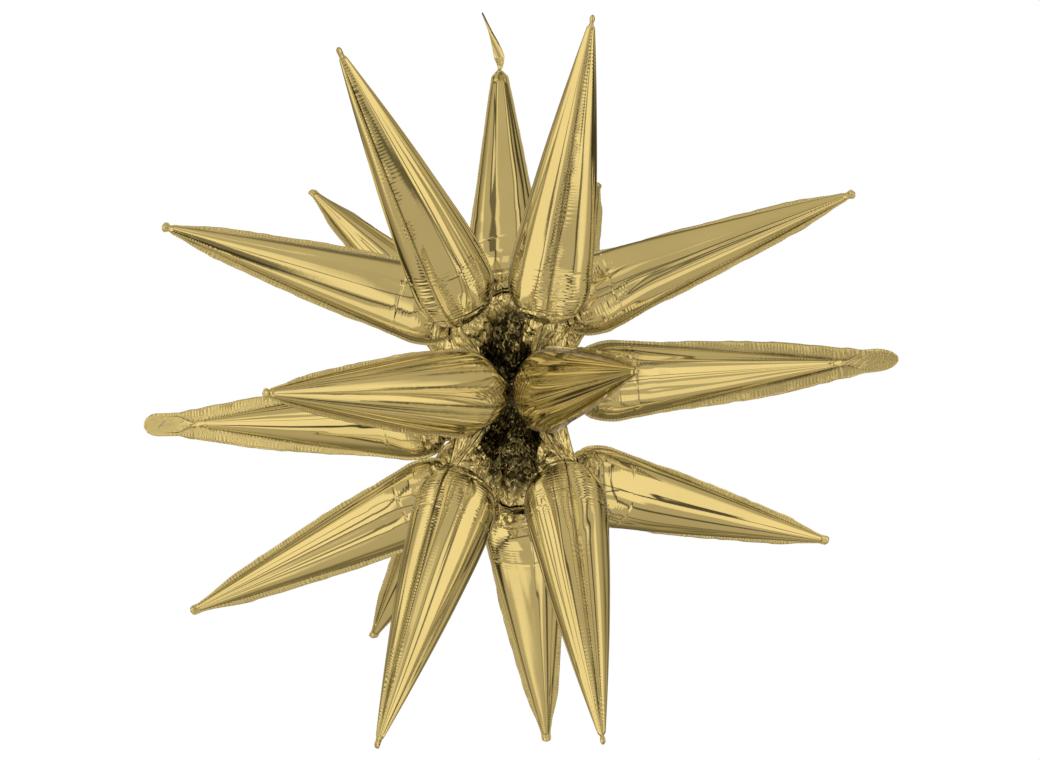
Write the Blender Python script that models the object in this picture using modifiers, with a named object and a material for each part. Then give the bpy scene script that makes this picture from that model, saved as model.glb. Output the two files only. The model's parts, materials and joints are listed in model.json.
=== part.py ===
"""Starburst foil balloon with eighteen hollow points.

Three six-armed foil stars are stacked front to back and bonded at their centres, where gas can pass.
The front star is folded forward like an open book, the middle star stays nearly flat, and the rear
star is folded back about a level line. Each star is two gold film sheets, sealed round their edges,
which swell into hollow points (spikes). A spike flexes on the crease at its root, so its two sheets
are cut from the hub sheets there. The top spike of the middle star ends in the filling neck, which
holds a two-film valve and carries a twisted tail. The left and right spikes of the rear star end in
flat hanging tabs.

Axes: +X right, +Y away from the viewer, +Z up; the origin is the centre of the middle star.
Azimuth 0 points at the viewer (-Y) and grows towards +X; elevation grows towards +Z.
"""

import math

import bmesh
import bpy
from mathutils import Matrix, Vector

COLLECTION_NAME = "starburst_foil_balloon"
CUTTER_COLLECTION_NAME = "starburst_cutters"

# Overall layout, in metres
TIP_DISTANCE = 0.365
HUB_HALF_WIDTH = 0.068
HUB_HALF_HEIGHT = 0.098
HUB_ROUNDING = 3.0
STAR_SPACING = 0.003

# Films, and the gap left where two of them are sealed or lie together
FILM_THICKNESS = 0.0004
SEAM_GAP = 0.0003
VALVE_FILM_THICKNESS = 0.0002
VALVE_GAP = 0.0005

# Spike shape
THROAT_HALF_WIDTH = 0.017
THROAT_HALF_HEIGHT = 0.010
FULL_RADIUS_AT = 0.036
TIP_HALF_WIDTH = 0.0045
CREASE_GAP = 0.0016
SEAM_WIDTH = 0.005
SEAM_WIDTH_AT_ROOT = 0.0015
SEAM_FULL_AT = 0.120
SEAM_NARROW_UNTIL = 0.060
SEAM_WIDTH_AT_TIP = 0.0025
ARC_SEGMENTS = 6
SWOLLEN_PLACES = (CREASE_GAP, 0.011, FULL_RADIUS_AT, 0.100, 0.180)

# Plain tip: closes to a small flat tab
TIP_CLOSING = 0.022
TIP_TAB = 0.011
TIP_ROUNDING = 0.003

# Hanging tab on the rear star's left and right spikes, whose seam strips are wider
HANG_TAB = 0.052
HANG_CORE_HALF_WIDTH = 0.003
HANG_SEAM_WIDTH = 0.009
HANG_ROUNDING = 0.010
SLIT_FROM_END = 0.018
SLIT_LENGTH = 0.010
SLIT_WIDTH = 0.0015
SLIT_TURN = math.radians(45)

# Filling neck on the middle star's top spike
NECK_CLOSING = 0.024
NECK_LENGTH = 0.008
NECK_HALF_WIDTH = 0.006
NECK_HALF_HEIGHT = 0.0013
VALVE_LENGTH = 0.070
VALVE_HALF_WIDTH = 0.0045
VALVE_INSET = 0.004

# Twisted filling tail
TAIL_LENGTH = 0.060
TAIL_DIRECTION = (-0.27, 0.12, 0.95)
TAIL_STANDOFF = 0.0015
TAIL_TWIST = math.radians(160)
TAIL_ROWS = 8
TAIL_HALF_WIDTHS = (0.0020, 0.0066, 0.0058, 0.0030)

# Hub sheets
HUB_COLUMNS_PER_ARM = 4
HUB_STATIONS = (0.16, 0.45, 0.75, 1.0)
HUB_RING_RADIUS = 0.011
HUB_ARM_HALF_WIDTH = 0.0025
HUB_NOTCH_REACH = 0.65
HUB_SWELL_FROM = 0.66
GAS_PORT_RADIUS = 0.004

# Bond rings between neighbouring stars
RING_INNER_RADIUS = 0.005
RING_OUTER_RADIUS = 0.008
RING_THICKNESS = 0.0013
RING_STEPS = 24

# Spikes of each star, in order round its centre: directions as (azimuth, elevation) in degrees.
# root: where the spike leaves the hub; tip: where it ends; face: where its front sheet looks.
# radius: the fullest half width of a spike; taper: how long it stays full, as a power.
STARS = {
    "front": {
        "offset": -STAR_SPACING,
        "first_angle": 0,
        "radius": 0.036,
        "taper": 1.35,
        "spikes": {
            "right": {"root": (19, 4), "tip": (16, 4), "face": (-74, 0)},
            "upper_right": {"root": (30, 52), "tip": (27, 65), "face": (-90, 0)},
            "upper_left": {"root": (-45, 53), "tip": (-47, 56), "face": (70, 0)},
            "left": {"root": (-21, 4), "tip": (-33, 1), "face": (57, 0)},
            "lower_left": {"root": (-48, -52), "tip": (-32, -54), "face": (65, 0)},
            "lower_right": {"root": (48, -49), "tip": (20, -52), "face": (-85, 0)},
        },
    },
    "middle": {
        "offset": 0.0,
        "first_angle": 30,
        "radius": 0.034,
        "taper": 1.15,
        "spikes": {
            "upper_right": {"root": (111, 60), "tip": (92, 31), "face": (0, 0)},
            "top": {"root": (-174, 65), "tip": (-176, 60), "face": (0, 0)},
            "upper_left": {"root": (-109, 55), "tip": (-99, 26), "face": (0, 0)},
            "lower_left": {"root": (-109, -57), "tip": (-102, -33), "face": (0, 0)},
            "bottom": {"root": (166, -70), "tip": (167, -65), "face": (0, 0)},
            "lower_right": {"root": (110, -53), "tip": (116, -22), "face": (0, 0)},
        },
    },
    "rear": {
        "offset": STAR_SPACING,
        "first_angle": 0,
        "radius": 0.034,
        "taper": 1.15,
        "spikes": {
            "right": {"root": (117, 11), "tip": (99, 6), "face": (0, 0)},
            "upper_right": {"root": (156, 37), "tip": (163, 36), "face": (0, 50)},
            "upper_left": {"root": (-152, 36), "tip": (-139, 34), "face": (0, 50)},
            "left": {"root": (-113, -16), "tip": (-107, -4), "face": (0, 0)},
            "lower_left": {"root": (-150, -38), "tip": (-150, -41), "face": (0, -50)},
            "lower_right": {"root": (160, -39), "tip": (164, -36), "face": (0, -50)},
        },
    },
}
HANGING_SPIKES = ("rear_left", "rear_right")
NECK_SPIKE = "middle_top"
SLIT_SPIKE = "rear_left"

# Material look: colour, metallic, roughness
MATERIALS = {
    "front_star_foil": ((0.80, 0.66, 0.33), 1.0, 0.12),
    "middle_star_foil": ((0.77, 0.63, 0.31), 1.0, 0.14),
    "rear_star_foil": ((0.74, 0.60, 0.30), 1.0, 0.16),
    "tail_foil": ((0.78, 0.64, 0.32), 1.0, 0.18),
    "valve_film": ((0.82, 0.84, 0.86), 0.0, 0.25),
    "bond_adhesive": ((0.70, 0.66, 0.55), 0.0, 0.50),
}


def clear_scene():
    for item in list(bpy.data.objects):
        bpy.data.objects.remove(item, do_unlink=True)


def new_collection(name):
    collection = bpy.data.collections.new(name)
    bpy.context.scene.collection.children.link(collection)
    return collection


def make_material(name):
    colour, metallic, roughness = MATERIALS[name]
    material = bpy.data.materials.new(name)
    material.use_nodes = True
    shader = material.node_tree.nodes["Principled BSDF"]
    shader.inputs["Base Color"].default_value = (*colour, 1.0)
    shader.inputs["Metallic"].default_value = metallic
    shader.inputs["Roughness"].default_value = roughness
    material.diffuse_color = (*colour, 1.0)
    return material


def direction(azimuth, elevation):
    """Unit vector of an azimuth and an elevation in degrees."""
    az = math.radians(azimuth)
    el = math.radians(elevation)
    return Vector((math.cos(el) * math.sin(az), -math.cos(el) * math.cos(az), math.sin(el)))


def mix(a, b, t):
    return a + (b - a) * t


def smooth(t):
    """Zero to one with level ends."""
    t = min(max(t, 0.0), 1.0)
    return t * t * (3.0 - 2.0 * t)


class Spike:
    """Place, axes and length of one spike. Its local axes are width (x), length (y) and face (z)."""

    def __init__(self, name, row, radius, taper):
        self.name = name
        self.radius = radius
        self.taper = taper
        self.root = self.hub_surface(direction(*row["root"]))
        tip = direction(*row["tip"]) * TIP_DISTANCE
        self.length = (tip - self.root).length
        self.axis = (tip - self.root).normalized()
        face = direction(*row["face"])
        self.face = (face - self.axis * face.dot(self.axis)).normalized()
        self.width = self.axis.cross(self.face)

    @staticmethod
    def hub_surface(ray):
        """Point of the rounded hub block along a ray from the centre."""
        level = math.hypot(ray.x, ray.y) / HUB_HALF_WIDTH
        upright = abs(ray.z) / HUB_HALF_HEIGHT
        return ray * (level**HUB_ROUNDING + upright**HUB_ROUNDING) ** (-1.0 / HUB_ROUNDING)

    def rotation(self):
        return Matrix((self.width, self.axis, self.face)).transposed()

    def point(self, x, y, z):
        return self.root + self.width * x + self.axis * y + self.face * z


def make_spikes():
    spikes = {}
    for star, plan in STARS.items():
        for spot, row in plan["spikes"].items():
            name = f"{star}_{spot}"
            spikes[name] = Spike(name, row, plan["radius"], plan["taper"])
    return spikes


def add_object(name, mesh, collection, material):
    item = bpy.data.objects.new(name, mesh)
    collection.objects.link(item)
    item.data.materials.append(material)
    return item


def place(item, origin, rotation):
    item.location = origin
    item.rotation_euler = rotation.to_euler()


def thicken(item, thickness, gap, side, even=True):
    """Makes a film a closed solid, half the gap away from the surface it is drawn on."""
    shell = item.modifiers.new("film", "SOLIDIFY")
    shell.thickness = thickness
    shell.offset = side * (gap / thickness + 1.0)
    shell.use_even_offset = even
    shell.use_rim = True


def warped_sheet(name, columns, rows, shape, weld=False):
    """Flat grid bent to shape(column, row), which gives a point for each grid crossing."""
    bm = bmesh.new()
    bmesh.ops.create_grid(bm, x_segments=columns, y_segments=rows, size=0.5)
    for vertex in bm.verts:
        column = round((vertex.co.x + 0.5) * columns)
        row = round((vertex.co.y + 0.5) * rows)
        vertex.co = shape(column, row)
    if weld:
        bmesh.ops.triangulate(bm, faces=bm.faces, quad_method="SHORT_EDGE")
        bmesh.ops.remove_doubles(bm, verts=bm.verts, dist=1e-6)
    for face in bm.faces:
        face.smooth = True
    mesh = bpy.data.meshes.new(name)
    bm.to_mesh(mesh)
    bm.free()
    return mesh


def swollen_half_width(spike, s, end, end_half_width):
    """Half width of the swollen part at a distance s from the root."""
    if s < FULL_RADIUS_AT:
        rise = (s - CREASE_GAP) / (FULL_RADIUS_AT - CREASE_GAP)
        dome = math.sqrt(1.0 - (1.0 - rise) ** 2)
        return mix(THROAT_HALF_WIDTH, spike.radius, dome)
    u = (s - FULL_RADIUS_AT) / (end - FULL_RADIUS_AT)
    return mix(spike.radius, end_half_width, u**spike.taper)


def swollen_stations(spike, places, end, end_half_width, seam_width):
    """(distance, half width, bulge, seam width) of sections along the swollen part."""
    stations = []
    for s in places:
        half = swollen_half_width(spike, s, end, end_half_width)
        flatness = THROAT_HALF_HEIGHT / THROAT_HALF_WIDTH
        rise = min((s - CREASE_GAP) / (FULL_RADIUS_AT - CREASE_GAP), 1.0)
        bulge = half * mix(flatness, 1.0, rise**0.5)
        widening = smooth((s - SEAM_NARROW_UNTIL) / (SEAM_FULL_AT - SEAM_NARROW_UNTIL))
        stations.append((s, half, bulge, mix(SEAM_WIDTH_AT_ROOT, seam_width, widening)))
    return stations


def plain_stations(spike):
    """Point that closes to a small rounded tab."""
    length = spike.length
    places = (*SWOLLEN_PLACES, length - TIP_CLOSING)
    stations = swollen_stations(spike, places, length, TIP_HALF_WIDTH, SEAM_WIDTH)
    for s, share in ((length - TIP_TAB, 1.0), (length - TIP_ROUNDING, 1.0), (length, 0.5)):
        stations.append((s, share * TIP_HALF_WIDTH, 0.0, share * SEAM_WIDTH_AT_TIP))
    return stations


def hanging_stations(spike):
    """Point that runs out in a long flat hanging tab."""
    end = spike.length - HANG_TAB
    core = HANG_CORE_HALF_WIDTH
    stations = swollen_stations(spike, SWOLLEN_PLACES, end, core, HANG_SEAM_WIDTH)
    for s, share in ((end, 1.0), (spike.length - HANG_ROUNDING, 0.95), (spike.length, 0.5)):
        stations.append((s, share * core, 0.0, share * HANG_SEAM_WIDTH))
    return stations


def neck_stations(spike):
    """Point that stays open at its end, as the filling neck."""
    length = spike.length
    places = (*SWOLLEN_PLACES, length - NECK_CLOSING)
    stations = swollen_stations(spike, places, length, NECK_HALF_WIDTH, SEAM_WIDTH)
    for s in (length - NECK_LENGTH, length):
        stations.append((s, NECK_HALF_WIDTH, NECK_HALF_HEIGHT, SEAM_WIDTH_AT_TIP))
    return stations


def spike_stations(spike):
    if spike.name in HANGING_SPIKES:
        return hanging_stations(spike)
    if spike.name == NECK_SPIKE:
        return neck_stations(spike)
    return plain_stations(spike)


def section_point(column, half, bulge, seam):
    """(across, up) of one point on half a section: seam strip, half ellipse, seam strip."""
    if column == 0:
        return -(half + seam), 0.0
    if column == ARC_SEGMENTS + 2:
        return half + seam, 0.0
    angle = math.pi * (column - 1) / ARC_SEGMENTS
    return -half * math.cos(angle), bulge * math.sin(angle)


def spike_sheet(spike, side, side_name, collection, material):
    """One film sheet of a spike: half a hollow point with its seam strips."""
    stations = spike_stations(spike)

    def shape(column, row):
        s, half, bulge, seam = stations[row]
        across, up = section_point(column, half, bulge, seam)
        return across, s, side * up

    name = f"{spike.name}_spike_{side_name}_sheet"
    mesh = warped_sheet(name, ARC_SEGMENTS + 2, len(stations) - 1, shape)
    item = add_object(name, mesh, collection, material)
    place(item, spike.root, spike.rotation())
    thicken(item, FILM_THICKNESS, SEAM_GAP, side)
    return item


class HubArm:
    """Centre line and section axes of one arm of a star's hub."""

    def __init__(self, centre, angle, spike):
        self.centre = centre
        self.out = Vector((math.cos(angle), 0.0, math.sin(angle)))
        self.across = Vector((math.sin(angle), 0.0, -math.cos(angle)))
        self.spike = spike
        self.end = spike.point(0.0, -CREASE_GAP, 0.0)
        self.reach = (self.end - centre).length

    def line(self, t):
        """Leaves the centre in the star's plane and bends to the spike's root."""
        flat = self.out * (self.reach * t)
        straight = (self.end - self.centre) * t
        return self.centre + flat.lerp(straight, t)

    def width(self, t):
        return self.across.lerp(self.spike.width, smooth(t)).normalized()

    def face(self, t):
        return Vector((0.0, -1.0, 0.0)).lerp(self.spike.face, smooth(t)).normalized()

    def half_width(self, t):
        wide = THROAT_HALF_WIDTH + SEAM_WIDTH_AT_ROOT
        return mix(HUB_ARM_HALF_WIDTH, wide, t * t)


def arm_point(arm, t, edge, side):
    """Point of an arm: edge is -1, 0 or 1 for its left edge, ridge or right edge."""
    swell = THROAT_HALF_HEIGHT * smooth((t - HUB_SWELL_FROM) / (1.0 - HUB_SWELL_FROM))
    up = swell if edge == 0 else 0.0
    return arm.line(t) - arm.width(t) * (edge * arm.half_width(t)) + arm.face(t) * (side * up)


def notch_point(arm, following, t):
    """Point of the web between two arms, where the sheets' edges are sealed."""
    first = HUB_STATIONS[0]
    near = first + (t - first) * HUB_NOTCH_REACH
    return arm.line(near).lerp(following.line(near), 0.5)


def ring_point(centre, angle, radius):
    return centre + Vector((math.cos(angle), 0.0, math.sin(angle))) * radius


def hub_sheet(star, side, side_name, has_port, spikes, collection, material):
    """Centre of one star sheet, out to the six creases where its spikes flex."""
    plan = STARS[star]
    centre = Vector((0.0, plan["offset"], 0.0))
    first = math.radians(plan["first_angle"])
    names = list(plan["spikes"])
    arms = []
    for index, place_name in enumerate(names):
        angle = first + index * 2.0 * math.pi / len(names)
        arms.append(HubArm(centre, angle, spikes[f"{star}_{place_name}"]))
    columns = HUB_COLUMNS_PER_ARM * len(arms)
    port = GAS_PORT_RADIUS if has_port else 0.0

    def shape(column, row):
        angle = first + 2.0 * math.pi * column / columns
        if row < 2:
            radius = port if row == 0 else HUB_RING_RADIUS
            return ring_point(centre, angle, radius)
        t = HUB_STATIONS[row - 1]
        arm = arms[(column // HUB_COLUMNS_PER_ARM) % len(arms)]
        following = arms[(column // HUB_COLUMNS_PER_ARM + 1) % len(arms)]
        step = column % HUB_COLUMNS_PER_ARM
        if step == 0:
            return arm_point(arm, t, 0, side)
        if step == 1:
            return arm_point(arm, t, 1, side)
        if step == 2:
            return notch_point(arm, following, t)
        return arm_point(following, t, -1, side)

    name = f"{star}_hub_{side_name}_sheet"
    mesh = warped_sheet(name, columns, len(HUB_STATIONS), shape, weld=True)
    item = add_object(name, mesh, collection, material)
    thicken(item, FILM_THICKNESS, SEAM_GAP, -side, even=False)
    return item


def bond_ring(name, y, collection, material):
    """Flat adhesive washer round the gas port, between two stars."""
    half = 0.5 * RING_THICKNESS
    corners = (
        (RING_OUTER_RADIUS, 0.0, half),
        (RING_OUTER_RADIUS, 0.0, -half),
        (RING_INNER_RADIUS, 0.0, -half),
        (RING_INNER_RADIUS, 0.0, half),
    )
    bm = bmesh.new()
    points = [bm.verts.new(corner) for corner in corners]
    for index, point in enumerate(points):
        bm.edges.new((point, points[(index + 1) % len(points)]))
    mesh = bpy.data.meshes.new(name)
    bm.to_mesh(mesh)
    bm.free()
    item = add_object(name, mesh, collection, material)
    item.location = (0.0, y, 0.0)
    item.rotation_euler = (math.radians(90), 0.0, 0.0)
    turn = item.modifiers.new("turn", "SCREW")
    turn.axis = "Z"
    turn.steps = RING_STEPS
    turn.render_steps = RING_STEPS
    turn.use_merge_vertices = True
    turn.merge_threshold = 1e-5
    return item


def valve_film(spike, side, side_name, collection, material):
    """One film of the self-sealing valve, lying in the neck on the seam plane."""
    start = spike.length - VALVE_LENGTH
    end = spike.length - VALVE_INSET

    def shape(column, row):
        across = (column - 1) * VALVE_HALF_WIDTH
        return across, mix(start, end, row), 0.0

    name = f"valve_{side_name}_film"
    mesh = warped_sheet(name, 2, 1, shape)
    item = add_object(name, mesh, collection, material)
    place(item, spike.root, spike.rotation())
    thicken(item, VALVE_FILM_THICKNESS, VALVE_GAP, side)
    return item


def tail_half_width(v):
    """Half width along the tail: a pinched start, a full middle and a narrow end."""
    span = v * (len(TAIL_HALF_WIDTHS) - 1)
    index = min(int(span), len(TAIL_HALF_WIDTHS) - 2)
    return mix(TAIL_HALF_WIDTHS[index], TAIL_HALF_WIDTHS[index + 1], smooth(span - index))


def tail_ply(spike, side, side_name, collection, material):
    """One ply of the filling tail, a strip that twists as it leaves the neck."""
    along = Vector(TAIL_DIRECTION).normalized()
    across = (spike.width - along * spike.width.dot(along)).normalized()
    rotation = Matrix((across, along, across.cross(along))).transposed()

    def shape(column, row):
        v = row / TAIL_ROWS
        turn = TAIL_TWIST * smooth(v)
        x = (column - 1) * tail_half_width(v)
        return x * math.cos(turn), TAIL_STANDOFF + v * TAIL_LENGTH, x * math.sin(turn)

    name = f"filling_tail_{side_name}_ply"
    mesh = warped_sheet(name, 2, TAIL_ROWS, shape)
    item = add_object(name, mesh, collection, material)
    place(item, spike.point(0.0, spike.length, 0.0), rotation)
    thicken(item, FILM_THICKNESS, SEAM_GAP, side)
    return item


def slit_cutter(spike, collection):
    """Block that cuts the hanging slit, slanted across the tab."""
    bm = bmesh.new()
    bmesh.ops.create_cube(bm, size=1.0)
    bmesh.ops.scale(bm, vec=(SLIT_LENGTH, SLIT_WIDTH, 0.010), verts=bm.verts)
    bmesh.ops.rotate(bm, matrix=Matrix.Rotation(SLIT_TURN, 3, "Z"), verts=bm.verts)
    mesh = bpy.data.meshes.new("slit_cutter")
    bm.to_mesh(mesh)
    bm.free()
    cutter = bpy.data.objects.new("slit_cutter", mesh)
    collection.objects.link(cutter)
    place(cutter, spike.point(0.0, spike.length - SLIT_FROM_END, 0.0), spike.rotation())
    cutter.hide_render = True
    cutter.display_type = "WIRE"
    return cutter


def cut_slit(item, cutter):
    slit = item.modifiers.new("slit", "BOOLEAN")
    slit.operation = "DIFFERENCE"
    slit.solver = "EXACT"
    slit.object = cutter


def centre_on_box(collection, cutters):
    """Moves everything so that the middle of the finished bounding box is the origin."""
    graph = bpy.context.evaluated_depsgraph_get()
    corners = []
    for item in collection.objects:
        solid = item.evaluated_get(graph)
        corners += [solid.matrix_world @ vertex.co for vertex in solid.data.vertices]
    middle = Vector([0.5 * (min(c[i] for c in corners) + max(c[i] for c in corners)) for i in range(3)])
    for item in (*collection.objects, *cutters.objects):
        item.location -= middle


def build():
    clear_scene()
    collection = new_collection(COLLECTION_NAME)
    cutters = new_collection(CUTTER_COLLECTION_NAME)
    materials = {name: make_material(name) for name in MATERIALS}
    spikes = make_spikes()
    cutter = slit_cutter(spikes[SLIT_SPIKE], cutters)
    sides = (("front", 1.0), ("rear", -1.0))

    for name, spike in spikes.items():
        foil = materials[f"{name.split('_')[0]}_star_foil"]
        for side_name, side in sides:
            item = spike_sheet(spike, side, side_name, collection, foil)
            if name == SLIT_SPIKE:
                cut_slit(item, cutter)

    for star in STARS:
        foil = materials[f"{star}_star_foil"]
        for side_name, side in sides:
            outer = (star, side_name) in (("front", "front"), ("rear", "rear"))
            hub_sheet(star, side, side_name, not outer, spikes, collection, foil)

    for star, y in (("front", -0.5 * STAR_SPACING), ("rear", 0.5 * STAR_SPACING)):
        bond_ring(f"{star}_bond_ring", y, collection, materials["bond_adhesive"])

    for side_name, side in sides:
        valve_film(spikes[NECK_SPIKE], side, side_name, collection, materials["valve_film"])
        tail_ply(spikes[NECK_SPIKE], side, side_name, collection, materials["tail_foil"])

    centre_on_box(collection, cutters)


build()
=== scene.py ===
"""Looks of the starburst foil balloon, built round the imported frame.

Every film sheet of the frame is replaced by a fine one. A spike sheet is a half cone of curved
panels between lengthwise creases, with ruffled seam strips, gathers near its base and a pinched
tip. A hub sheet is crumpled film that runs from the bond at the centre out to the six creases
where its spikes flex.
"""

import json
import math

import bmesh
import bpy
import numpy as np
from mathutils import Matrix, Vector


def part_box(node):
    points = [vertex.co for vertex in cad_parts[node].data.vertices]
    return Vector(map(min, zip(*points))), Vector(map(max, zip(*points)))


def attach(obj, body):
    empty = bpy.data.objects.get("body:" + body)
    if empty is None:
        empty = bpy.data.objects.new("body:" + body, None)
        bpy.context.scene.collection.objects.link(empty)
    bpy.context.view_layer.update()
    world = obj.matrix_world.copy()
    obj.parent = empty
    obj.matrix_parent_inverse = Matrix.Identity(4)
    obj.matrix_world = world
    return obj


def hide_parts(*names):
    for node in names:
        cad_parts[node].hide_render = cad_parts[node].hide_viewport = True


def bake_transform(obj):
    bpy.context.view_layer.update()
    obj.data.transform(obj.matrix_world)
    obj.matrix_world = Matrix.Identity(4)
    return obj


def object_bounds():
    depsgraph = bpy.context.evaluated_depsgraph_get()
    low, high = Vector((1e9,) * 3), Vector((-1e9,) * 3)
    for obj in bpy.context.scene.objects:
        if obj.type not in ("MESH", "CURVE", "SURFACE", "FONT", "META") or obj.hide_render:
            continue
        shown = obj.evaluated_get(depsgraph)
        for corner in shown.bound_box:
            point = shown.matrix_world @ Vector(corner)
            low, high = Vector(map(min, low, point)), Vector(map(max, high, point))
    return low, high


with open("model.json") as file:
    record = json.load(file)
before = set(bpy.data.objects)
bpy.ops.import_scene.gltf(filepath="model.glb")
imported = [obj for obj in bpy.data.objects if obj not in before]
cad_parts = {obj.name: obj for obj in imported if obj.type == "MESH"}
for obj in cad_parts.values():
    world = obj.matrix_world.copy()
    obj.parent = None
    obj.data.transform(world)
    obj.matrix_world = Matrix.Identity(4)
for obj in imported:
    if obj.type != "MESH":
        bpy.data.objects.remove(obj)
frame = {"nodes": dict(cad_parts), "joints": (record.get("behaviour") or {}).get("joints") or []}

CAD_BOX = [list(corner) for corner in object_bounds()]
SEED = 7
MM = 0.001
STARS = ("front", "middle", "rear")
SIDES = (("front", 1.0), ("rear", -1.0))

# Film
FILM_THICKNESS = 0.14 * MM
FILM_LIFT = 0.12 * MM
SHARP_FOLD = math.radians(22)

# Sheet grids
ARC_COLUMNS = 52
PLEATED_COLUMNS = 100
SEAM_COLUMNS = 4
BASE_ROW_PITCH = 0.62 * MM
ROW_PITCH = 0.92 * MM
BASE_ROWS_TO = 75.0 * MM
HUB_ROWS = 60
WEB_COLUMNS = 22

# Spike outline, measured from the crease at its root
THROAT_HALF_WIDTH = 18.0 * MM
THROAT_HALF_HEIGHT = 13.0 * MM
SHOULDER_AT = 34.0 * MM
DOME_ROUNDNESS = 2.2
DOME_BULGE_LAG = 1.3
TIP_HALF_WIDTH = 2.7 * MM
TAPER = {"front": 1.30, "middle": 1.12, "rear": 1.12}
CAP_LINE_AT = 12.0 * MM
CAP_LINE_DEPTH = 1.0 * MM
RING_AT = 50.0 * MM
RING_DEPTH = 0.22 * MM
RING_HALF_WIDTH = 2.0 * MM
RING_WANDER = 1.8 * MM

# Sheets pressed in by a neighbouring spike near their base, as the share of their bulge they lose
PRESSED = {
    ("middle_bottom", -1.0): 0.10,
    ("middle_lower_left", -1.0): 0.10,
    ("middle_top", -1.0): 0.10,
    ("middle_upper_left", -1.0): 0.10,
    ("rear_lower_left", 1.0): 0.10,
    ("rear_lower_right", 1.0): 0.10,
    ("rear_upper_left", 1.0): 0.10,
    ("rear_upper_right", 1.0): 0.10,
}
# Spikes pressed in from the sides, as the share of their width they lose
NARROWED = {"rear_lower_left": 0.10, "rear_lower_right": 0.10}
PRESSED_TO = 100.0 * MM
PRESSED_FADE = 60.0 * MM

# The two pleated spikes bulge back over their crease towards each other
PLEATED = ("front_left", "front_right")
PLEAT_BACK = {"front_left": 24.0 * MM, "front_right": 18.5 * MM}
PLEAT_END_HALF_WIDTH = 4.0 * MM
PLEAT_END_HALF_HEIGHT = 3.0 * MM
PLEATED_WIDTH_ROUNDNESS = 1.6
PLEATED_BULGE_ROUNDNESS = 0.7
PLEATS = 7
PLEAT_FLATNESS = (-1.1, 0.4)
PLEAT_SLOWNESS = 2.4
PLEATED_BULGE = {"front_left": 1.0, "front_right": 0.78}
CHEVRON_PITCH = 8.5 * MM
CHEVRON_HEIGHT = 0.4 * MM
CHEVRON_SLANT = 2.4
CHEVRON_WANDER = 1.6 * MM
CHEVRON_FROM = 6.0 * MM
CHEVRON_REACH = {"front_left": 58.0 * MM, "front_right": 100.0 * MM}
CHEVRON_FADE = 14.0 * MM
CHEVRON_SHADE = 0.62
CHEVRON_LINE_SHARE = 0.16

# Lengthwise panels of the other spikes
PANELS = (4, 7)
PANEL_SHARES = (0.45, 1.6)
PANEL_FLATNESS = (-1.0, 0.7)
CREASE_DRIFT = 0.07
CREASE_DRIFT_LENGTH = 70.0 * MM
CREASE_SWING = 0.022
CREASE_SWING_LENGTH = 55.0 * MM
STREAK_HEIGHT = 0.008

# Seam strips
SEAM_WIDTH = {"front": 5.0 * MM, "middle": 5.5 * MM, "rear": 5.5 * MM}
SEAM_WIDTH_AT_BASE = 3.0 * MM
SEAM_UNEVENNESS = 0.4 * MM
RUFFLE_PITCH = 3.0 * MM
RUFFLE_HEIGHT = 0.50 * MM
PUCKER_HEIGHT = 0.30 * MM
PUCKER_REACH = 3.0 * MM
CREVICE_REACH = 1.1 * MM
CREVICE_SHADE = 0.85
CREVICE_SHADE_ON_SEAM = 0.25
PLEAT_SHADE = 0.80
PLEAT_LINE_COLUMNS = 1.3

# Plain tips: a pinched waist and a small flattened knob
KNOB_LENGTH = 7.5 * MM
WAIST_LENGTH = 4.0 * MM
WAIST_HALF_WIDTH = 2.3 * MM
KNOB_HALF_WIDTH = 3.1 * MM
KNOB_HALF_HEIGHT = 2.0 * MM
WAIST_SEAM = 0.8 * MM
KNOB_SEAM = 1.5 * MM
TIP_SEAM = 1.5 * MM
TIP_SEAM_FROM_END = 60.0 * MM
TIP_SEAM_FADE = 50.0 * MM
TIP_ROUNDING = 3.2 * MM

# How much of a knob each plain tip has
KNOBS = {"middle_upper_left": 1.0, "middle_upper_right": 0.8, "front_left": 0.7, "front_right": 0.8}
PLAIN_KNOB = 0.0

# Roll of a spike about its own length, in degrees
ROLLS = {
    "middle_upper_right": 24.0,
    "middle_upper_left": -8.0,
    "middle_lower_right": -14.0,
    "front_right": 18.0,
}
ROLL_FROM = 20.0 * MM
ROLL_TO = 90.0 * MM

# Hanging tabs
HANGING = ("rear_left", "rear_right")
HANG_TAB = 52.0 * MM
HANG_SEAM = 12.0 * MM
HANG_SEAM_FROM = 80.0 * MM
HANG_SEAM_FADE = 120.0 * MM
HANG_CLOSE = 10.0 * MM
HANG_OVAL = 7.5 * MM
HANG_OVAL_FROM = 3.0 * MM
HANG_OVAL_FADE = 16.0 * MM
HANG_RIM = 3.6 * MM
HANG_FOLD_HEIGHT = 0.55 * MM
HANG_FOLD_PITCH = 4.2 * MM
HANG_FOLDS_AT = 6.0 * MM
HANG_FOLDS_REACH = 26.0 * MM
HANG_DOME = 0.5 * MM
HANG_DOME_HALF_WIDTH = 11.0 * MM
HANG_MATT = 0.7
HANG_CORE = 2.2 * MM
HANG_ROUNDING = {"rear_left": 17.0 * MM, "rear_right": 30.0 * MM}

SLIT_SPIKE = "rear_left"
SLIT_FROM_END = 18.0 * MM
SLIT_LENGTH = 11.0 * MM
SLIT_WIDTH = 0.22 * MM
SLIT_SHADE = 0.8
SLIT_SHADE_REACH = 0.6 * MM
SLIT_TURN = math.radians(135)

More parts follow.
